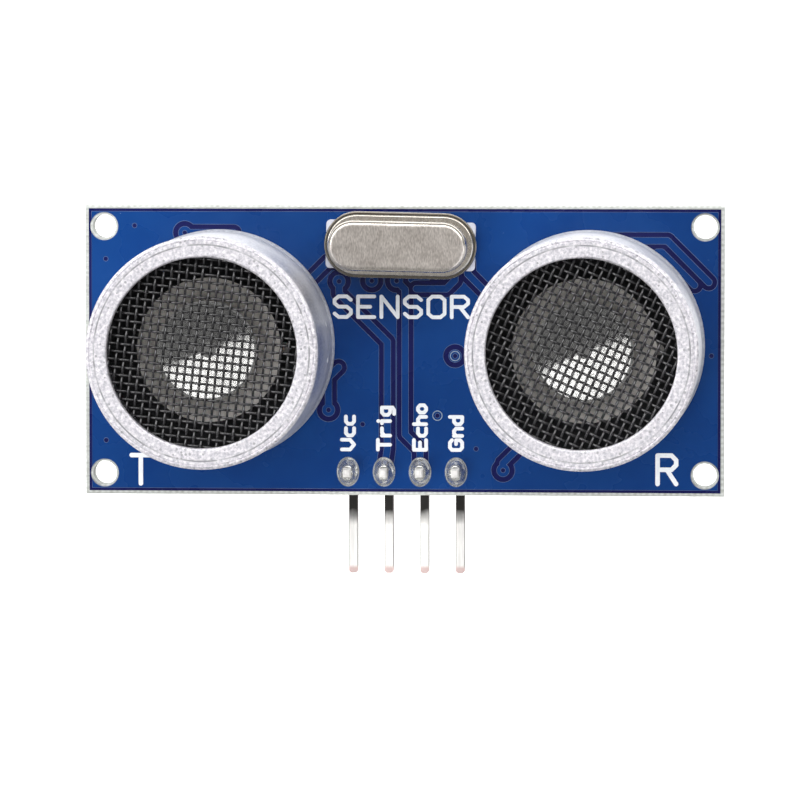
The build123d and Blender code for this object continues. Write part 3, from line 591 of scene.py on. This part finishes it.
def meshFromCurve(curve, name):
    # turns a curve into a mesh object that sits at the origin
    holder = bpy.data.objects.new(name + "Curve", curve)
    bpy.context.scene.collection.objects.link(holder)
    bpy.context.view_layer.update()
    mesh = bpy.data.meshes.new_from_object(holder.evaluated_get(bpy.context.evaluated_depsgraph_get()))
    bpy.data.objects.remove(holder)
    bpy.data.curves.remove(curve)
    mesh.name = name
    piece = bpy.data.objects.new(name, mesh)
    bpy.context.scene.collection.objects.link(piece)
    return piece


def finishPiece(piece, material, smooth=True, replaced=()):
    piece.data.materials.clear()
    piece.data.materials.append(material)
    for face in piece.data.polygons:
        face.use_smooth = smooth
    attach(piece, bodyName)
    if replaced:
        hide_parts(*replaced)


def wovenGrille(side):
    low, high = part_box(side + "_grille")
    centre = (low + high) / 2
    turn = math.radians(weave[side]["turn"])
    along = (Vector((math.cos(turn), 0, math.sin(turn))), Vector((-math.sin(turn), 0, math.cos(turn))))
    curve = bpy.data.curves.new(side + "Weave", "CURVE")
    curve.dimensions = "3D"
    curve.bevel_depth = weave["wireRadius"]
    curve.bevel_resolution = 1
    curve.use_fill_caps = True
    for way in (0, 1):
        pitch, crossPitch = weave[side]["pitch"][way], weave[side]["pitch"][1 - way]
        count = int(weave["edgeRadius"] / crossPitch)
        for wire in range(-count, count + 1):
            offset = wire * crossPitch
            half = math.sqrt(weave["edgeRadius"] ** 2 - offset ** 2)
            steps = int(half / pitch * weave["stepsPerPitch"])
            if steps < 2:
                continue
            over = (-1) ** (wire + way)
            spline = curve.splines.new("POLY")
            spline.points.add(2 * steps)
            for i, point in enumerate(spline.points):
                travel = (i - steps) * pitch / weave["stepsPerPitch"]
                lift = over * weave["wireRadius"] * math.cos(math.pi * travel / pitch)
                spot = centre + along[way] * travel + along[1 - way] * offset - Vector((0, lift, 0))
                point.co = (*spot, 1)
    piece = meshFromCurve(curve, side + "_woven_grille")
    finishPiece(piece, materials["grilleWire"], replaced=[side + "_grille"])
    return piece


for side in ("transmitter", "receiver"):
    piece = wovenGrille(side)
    print(piece.name, "faces", len(piece.data.polygons))


# loose parts of a CAD node, each as its lowest and highest corner
def looseParts(nodeName):
    model = bmesh.new()
    model.from_mesh(nodes[nodeName].data)
    bmesh.ops.remove_doubles(model, verts=model.verts, dist=mergeDistance)
    left, parts = set(model.verts), []
    while left:
        reach = [left.pop()]
        corners = []
        while reach:
            vert = reach.pop()
            corners.append(vert.co.copy())
            for edge in vert.link_edges:
                other = edge.other_vert(vert)
                if other in left:
                    left.remove(other)
                    reach.append(other)
        parts.append(tuple(Vector([pick(corner[axis] for corner in corners) for axis in range(3)])
                           for pick in (min, max)))
    model.free()
    return sorted(parts, key=lambda part: tuple(part[0]))


def pieceFrom(model, name, material, smooth=True, replaced=()):
    bmesh.ops.recalc_face_normals(model, faces=model.faces)
    mesh = bpy.data.meshes.new(name)
    model.to_mesh(mesh)
    model.free()
    piece = bpy.data.objects.new(name, mesh)
    bpy.context.scene.collection.objects.link(piece)
    finishPiece(piece, material, smooth, replaced)
    print(name, "faces", len(mesh.polygons))
    return piece


def spunBlob(model, profile, centre, stretch, facing, steps, wobble):
    # a profile of (radius, height) spun round Y at centre, stretched across X and Z, and made a little uneven
    verts = [model.verts.new((radius, facing * height, 0)) for radius, height in profile]
    edges = [model.edges.new(pair) for pair in zip(verts, verts[1:])]
    bmesh.ops.spin(model, geom=verts + edges, cent=(0, 0, 0), axis=(0, 1, 0), angle=2 * math.pi,
                   steps=steps, use_merge=True, use_duplicate=False)
    fresh = [vert for vert in model.verts if not vert.tag]
    bmesh.ops.remove_doubles(model, verts=fresh, dist=mergeDistance)
    for vert in (vert for vert in model.verts if not vert.tag):
        vert.tag = True
        vert.co.x *= stretch[0]
        vert.co.z *= stretch[1]
        vert.co += centre
        push = noise.noise(vert.co * wobble["scale"]) * wobble["size"]
        lift = min(1.0, abs(vert.co.y - centre.y) / wobble["over"])
        vert.co.y += facing * push * lift
        vert.co.x += push * lift


# the crown's outline is in shares of the neck and of the height
headerSolder = {
    "base": (0.76 * mm, 1.00 * mm), "neck": 0.40 * mm, "height": 1.02 * mm, "rings": 9, "steps": 32,
    "sink": 0.02 * mm, "climb": 1.25, "hollow": 1.7, "crown": [(0.8, 1.03), (0, 1.04)],
    "wobble": {"scale": 2300.0, "size": 0.10 * mm, "over": 0.15 * mm},
}


def headerJoints(look):
    # wetted solder: a hollow-sided cone that climbs the pin from the rim of its oval pad
    model = bmesh.new()
    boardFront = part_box("plated_holes")[0].y
    for low, high in looseParts("header_solder_joints"):
        centre = Vector(((low.x + high.x) / 2, boardFront + look["sink"], (low.z + high.z) / 2))
        radius = look["base"][0]
        profile = [(0, 0)]
        for ring in range(look["rings"] + 1):
            share = ring / look["rings"]
            height = look["height"] * share ** look["climb"]
            width = look["neck"] + (radius - look["neck"]) * (1 - share) ** look["hollow"]
            profile.append((width, height))
        profile += [(look["neck"] * across, look["height"] * up) for across, up in look["crown"]]
        spunBlob(model, profile, centre, (1.0, look["base"][1] / radius), -1, look["steps"], look["wobble"])
    return pieceFrom(model, "header_wetted_solder", materials["solder"],
                     replaced=["header_solder_joints"])


# the mound's outline is in shares of the pad's half width and of the rise
footSolder = {
    "rise": 0.30 * mm, "steps": 12, "sink": 0.01 * mm, "cover": 0.94,
    "outline": [(0, 0), (1, 0), (0.86, 0.22), (0.62, 0.5), (0.3, 0.66), (0, 0.7)],
    "wobble": {"scale": 2600.0, "size": 0.05 * mm, "over": 0.15 * mm},
}


def footFillets(name, pads, look):
    # a low mound of solder on every pad, round the foot or the end cap that stands on it
    model = bmesh.new()
    for low, high in pads:
        half = Vector(((high.x - low.x) / 2, 0, (high.z - low.z) / 2))
        centre = Vector(((low.x + high.x) / 2, high.y - look["sink"], (low.z + high.z) / 2))
        radius = half.x * look["cover"]
        profile = [(radius * across, look["rise"] * up) for across, up in look["outline"]]
        spunBlob(model, profile, centre, (1.0, half.z / half.x), 1, look["steps"], look["wobble"])
    return pieceFrom(model, name, materials["solder"])


viaRings = {"radius": 0.33 * mm, "thick": 0.035 * mm, "steps": 28, "sides": 8,
            "places": [(2.38 * mm, -4.57 * mm), (3.62 * mm, -0.37 * mm)]}


def lacquerRings(look):
    # the raised lip that lacquer leaves round the two larger vias, coloured pale grey blue as a painted
    # highlight
    model = bmesh.new()
    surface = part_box("front_solder_mask")[0].y
    for x, z in look["places"]:
        circle = bmesh.ops.create_circle(model, segments=look["sides"], radius=look["thick"])["verts"]
        bmesh.ops.translate(model, verts=circle, vec=(look["radius"], 0, 0))
        edges = [edge for edge in model.edges if all(vert in circle for vert in edge.verts)]
        bmesh.ops.spin(model, geom=circle + edges, cent=(0, 0, 0), axis=(0, 1, 0), angle=2 * math.pi,
                       steps=look["steps"], use_merge=True, use_duplicate=False)
        fresh = [vert for vert in model.verts if not vert.tag]
        bmesh.ops.remove_doubles(model, verts=fresh, dist=mergeDistance)
        fresh = [vert for vert in model.verts if not vert.tag]
        bmesh.ops.translate(model, verts=fresh, vec=(x, surface, z))
        for vert in fresh:
            vert.tag = True
    return pieceFrom(model, "via_lacquer_rings", materials["viaRimHighlight"])


lipLook = {
    "radius": 0.022 * mm, "resolution": 1, "sink": 0.006 * mm, "step": 0.02 * mm, "stepSlack": 0.022 * mm,
    "wallTilt": 0.2, "levelSlack": 1e-6,
}


def lacquerLips(side, look):
    # the rounded lip of lacquer along the edge of each copper track and gap, coloured paler than the lacquer
    # as a painted highlight
    node = side + "_solder_mask"
    low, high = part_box(node)
    outward, surface = (-1, low.y) if side == "front" else (1, high.y)
    model = bmesh.new()
    model.from_mesh(nodes[node].data)
    bmesh.ops.remove_doubles(model, verts=model.verts, dist=mergeDistance)
    sunken = surface - outward * look["step"]
    links = {}
    for edge in model.edges:
        offLevel = any(abs(vert.co.y - surface) > look["levelSlack"] for vert in edge.verts)
        if offLevel or len(edge.link_faces) != 2:
            continue
        walls = [face for face in edge.link_faces if abs(face.normal.y) < look["wallTilt"]]
        if len(walls) != 1 or max(abs(vert.co.y - sunken) for vert in walls[0].verts) > look["stepSlack"]:
            continue
        for vert in edge.verts:
            links.setdefault(vert, []).append(edge)
    curve = bpy.data.curves.new(node + "Lips", "CURVE")
    curve.dimensions = "3D"
    curve.bevel_depth = look["radius"]
    curve.bevel_resolution = look["resolution"]
    used = set()
    for start in sorted(links, key=lambda vert: tuple(vert.co)):
        for first in links[start]:
            if first in used:
                continue
            line, vert, edge = [start.co.copy()], start, first
            while edge:
                used.add(edge)
                vert = edge.other_vert(vert)
                line.append(vert.co.copy())
                edge = next((other for other in links[vert] if other not in used), None)
            spline = curve.splines.new("POLY")
            closed = (line[0] - line[-1]).length < mergeDistance
            points = line[:-1] if closed else line
            spline.points.add(len(points) - 1)
            spline.use_cyclic_u = closed
            for point, spot in zip(spline.points, points):
                point.co = (spot.x, spot.y - outward * look["sink"], spot.z, 1)
    model.free()
    piece = meshFromCurve(curve, side + "_lacquer_lips")
    finishPiece(piece, materials["lacquerLipHighlight"])
    print(piece.name, "faces", len(piece.data.polygons))
    return piece


headerJoints(headerSolder)
footFillets("rear_pad_solder", looseParts("component_pads"), footSolder)
lacquerRings(viaRings)
for side in ("front", "rear"):
    lacquerLips(side, lipLook)


# the studio: a pale sweep, a bright band of the room above and left of the axis, and the camera
stageLook = {
    "floorBelow": 34 * mm, "wallBehind": 0.42, "bend": 0.18, "bendSteps": 16, "reach": 0.9, "height": 1.1,
    "paper": (0.92, 0.92, 0.925), "worn": 0.98, "glow": 0.3, "floor": (0.50, 0.50, 0.51),
    "greyFrom": 0.035, "greyTo": 0.135, "clearFrom": 0.02, "clearTo": 0.12,
    "roughness": 0.9, "grainShape": {"Fine": 400.0, "Coarse": 9.0},
}


def stagePaper(look, floorLevel):
    # pale paper that glows a little behind the object; the floor is only looked at, so light from
    # the room below it still reaches the object
    material, tree, shader = newMaterial("paleStudioPaper", Roughness=look["roughness"])
    shader.inputs["Emission Color"].default_value = (1, 1, 1, 1)
    grain = placeGroup(tree, surfaceGrain, **look["grainShape"])
    worn = [look["worn"] * c for c in look["paper"]]
    paper = mixColours(tree, grain.outputs["Cloud"], worn, look["paper"])
    where = addNode(tree, "ShaderNodeTexCoord")
    split = addNode(tree, "ShaderNodeSeparateXYZ")
    join(tree, where.outputs["Object"], split.inputs[0])
    clearFrom, clearTo = floorLevel + look["clearFrom"], floorLevel + look["clearTo"]
    onFloor = mapValue(tree, split.outputs["Z"], clearFrom, clearTo, 1, 0)
    near = mapValue(tree, split.outputs["Y"], look["greyFrom"], look["greyTo"], 1, 0)
    join(tree, mixColours(tree, near, paper, look["floor"]), shader.inputs["Base Color"])
    join(tree, mapValue(tree, near, 0, 1, look["glow"], 0), shader.inputs["Emission Strength"])
    path = addNode(tree, "ShaderNodeLightPath")
    unseen = maths(tree, "SUBTRACT", 1.0, path.outputs["Is Camera Ray"])
    clear = addNode(tree, "ShaderNodeBsdfTransparent")
    both = addNode(tree, "ShaderNodeMixShader")
    join(tree, maths(tree, "MULTIPLY", onFloor, unseen), both.inputs[0])
    join(tree, shader.outputs[0], both.inputs[1])
    join(tree, clear.outputs[0], both.inputs[2])
    join(tree, both.outputs[0], tree.nodes["Material Output"].inputs["Surface"])
    return material


def buildSweep(look):
    # the floor bends up into the wall in one sheet
    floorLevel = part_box("supply_pin")[0].z - look["floorBelow"]
    model = bmesh.new()
    profile = [(-look["reach"], floorLevel)]
    for i in range(look["bendSteps"] + 1):
        angle = math.pi / 2 * i / look["bendSteps"]
        y = look["wallBehind"] - look["bend"] + look["bend"] * math.sin(angle)
        z = floorLevel + look["bend"] * (1 - math.cos(angle))
        profile.append((y, z))
    profile.append((look["wallBehind"], floorLevel + look["height"]))
    verts = [model.verts.new((-look["reach"], y, z)) for y, z in profile]
    edges = [model.edges.new(pair) for pair in zip(verts, verts[1:])]
    grown = bmesh.ops.extrude_edge_only(model, edges=edges)["geom"]
    fresh = [item for item in grown if isinstance(item, bmesh.types.BMVert)]
    bmesh.ops.translate(model, verts=fresh, vec=(2 * look["reach"], 0, 0))
    bmesh.ops.recalc_face_normals(model, faces=model.faces)
    mesh = bpy.data.meshes.new("studioSweep")
    model.to_mesh(mesh)
    model.free()
    for face in mesh.polygons:
        face.use_smooth = True
    sweep = bpy.data.objects.new("studioSweep", mesh)
    bpy.context.scene.collection.objects.link(sweep)
    mesh.materials.append(stagePaper(look, floorLevel))


def hangLamp(name, lamp, place, target):
    holder = bpy.data.objects.new(name, lamp)
    holder.location = place
    holder.rotation_euler = (Vector(target) - Vector(place)).to_track_quat("-Z", "Y").to_euler()
    bpy.context.scene.collection.objects.link(holder)
    return holder


# one soft light for the wall, and one from low on the left that metal doesn't mirror
softLights = {
    "wallLight": {"from": (0.0, 0.05, 0.62), "to": (0, 0.42, 0.0), "size": (0.9, 0.25), "power": 3.0},
    "lowFill": {"from": (-0.28, -0.34, -0.30), "to": (0, 0, -0.004), "size": (0.3, 0.3), "power": 1.5},
}


def addSoftLight(name, look):
    lamp = bpy.data.lights.new(name, "AREA")
    lamp.shape = "RECTANGLE"
    lamp.size, lamp.size_y = look["size"]
    lamp.energy = look["power"]
    hangLamp(name, lamp, look["from"], look["to"]).visible_glossy = False


pinSpot = {
    "from": (0.02, -0.24, -0.17), "belowTip": 0.4 * mm, "reach": 5.4 * mm, "power": 2.4, "blend": 0.35,
    "softness": 4 * mm,
}


def addPinSpot(look):
    # a small spot from below keeps the pins bright in the board's shadow
    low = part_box("trigger_pin")[0]
    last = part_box("echo_pin")[1]
    height = low.z - look["belowTip"] + look["reach"] / 2
    target = Vector(((low.x + last.x) / 2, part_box("circuit_board")[1].y, height))
    lamp = bpy.data.lights.new("pinSpot", "SPOT")
    distance = (Vector(look["from"]) - target).length
    lamp.spot_size = 2 * math.atan(look["reach"] / distance)
    lamp.spot_blend = look["blend"]
    lamp.energy = look["power"]
    lamp.shadow_soft_size = look["softness"]
    hangLamp("pinSpot", lamp, look["from"], target)


# the band lies between two angles off the axis, on the side that bandTurn points to; edges and
# spans are cosines of the angle from an axis
roomLook = {
    "bandInner": 37, "bandOuter": 62, "bandTurn": 111.5, "bandEdge": 0.02, "halfEdge": (-0.01, 0.05),
    "band": 4.8, "front": 0.50, "frontFull": 0.97, "upper": 0.35, "lower": 0.46, "heightSpan": (-0.5, 0.7),
    "behind": 0.7, "behindSpan": (-0.35, 0.0), "seen": 0.84,
}


def buildRoom(look):
    # what lights the object: a bright half ring round the axis, with soft dim surroundings
    world = bpy.data.worlds.new("studioRoom")
    bpy.context.scene.world = world
    world.use_nodes = True
    tree = world.node_tree
    tree.nodes.clear()
    where = addNode(tree, "ShaderNodeTexCoord")

    def along(direction):
        dot = addNode(tree, "ShaderNodeVectorMath", operation="DOT_PRODUCT")
        join(tree, where.outputs["Generated"], dot.inputs[0])
        dot.inputs[1].default_value = direction
        return dot.outputs["Value"]

    forward = along((0, -1, 0))
    turn = math.radians(look["bandTurn"])
    sideways = along((math.cos(turn), 0, math.sin(turn)))
    inner, outer = (math.cos(math.radians(look[key])) for key in ("bandInner", "bandOuter"))
    edge = look["bandEdge"]
    inBand = maths(tree, "MULTIPLY", mapValue(tree, forward, outer - edge, outer + edge, 0, 1),
                   mapValue(tree, forward, inner - edge, inner + edge, 1, 0))
    half = mapValue(tree, sideways, *look["halfEdge"], 0, 1)
    band = maths(tree, "MULTIPLY", maths(tree, "MULTIPLY", inBand, half), look["band"])
    beside = mapValue(tree, along((0, 0, 1)), *look["heightSpan"], look["lower"], look["upper"])
    atFront = mapValue(tree, forward, inner, look["frontFull"], 0, 1)
    soft = addNode(tree, "ShaderNodeMix", data_type="FLOAT")
    join(tree, atFront, soft.inputs[0])
    join(tree, beside, soft.inputs[2])
    soft.inputs[3].default_value = look["front"]
    atBack = mapValue(tree, forward, *look["behindSpan"], look["behind"], 0)
    amount = maths(tree, "ADD", maths(tree, "ADD", band, soft.outputs[0]), atBack)
    room = addNode(tree, "ShaderNodeBackground")
    join(tree, amount, room.inputs["Strength"])
    paper = addNode(tree, "ShaderNodeBackground", Strength=look["seen"])
    path = addNode(tree, "ShaderNodeLightPath")
    mix = addNode(tree, "ShaderNodeMixShader")
    join(tree, path.outputs["Is Camera Ray"], mix.inputs[0])
    join(tree, room.outputs[0], mix.inputs[1])
    join(tree, paper.outputs[0], mix.inputs[2])
    out = addNode(tree, "ShaderNodeOutputWorld")
    join(tree, mix.outputs[0], out.inputs["Surface"])


buildSweep(stageLook)
buildRoom(roomLook)
for name, look in softLights.items():
    addSoftLight(name, look)
addPinSpot(pinSpot)

# the camera stands a little right of the board's middle and above it; lens and sensor are in millimetres
cameraLook = {
    "right": 30.4 * mm, "up": 19.9 * mm, "away": 0.412, "aimRight": -0.26 * mm, "aimUp": -3.48 * mm,
    "lens": 264.9, "sensor": 36, "clipStart": 0.01,
}


def addCamera(look):
    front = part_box("front_solder_mask")[0].y
    camera = bpy.data.objects.new("studioCamera", bpy.data.cameras.new("studioCamera"))
    camera.location = (look["right"], front - look["away"], look["up"])
    aim = Vector((look["aimRight"], front, look["aimUp"]))
    camera.rotation_euler = (aim - camera.location).to_track_quat("-Z", "Y").to_euler()
    camera.data.lens = look["lens"]
    camera.data.sensor_width = look["sensor"]
    camera.data.clip_start = look["clipStart"]
    bpy.context.scene.collection.objects.link(camera)
    return camera


bpy.context.scene.camera = addCamera(cameraLook)
bpy.context.scene.view_settings.view_transform = "Standard"
print("stage, light and camera are in place")
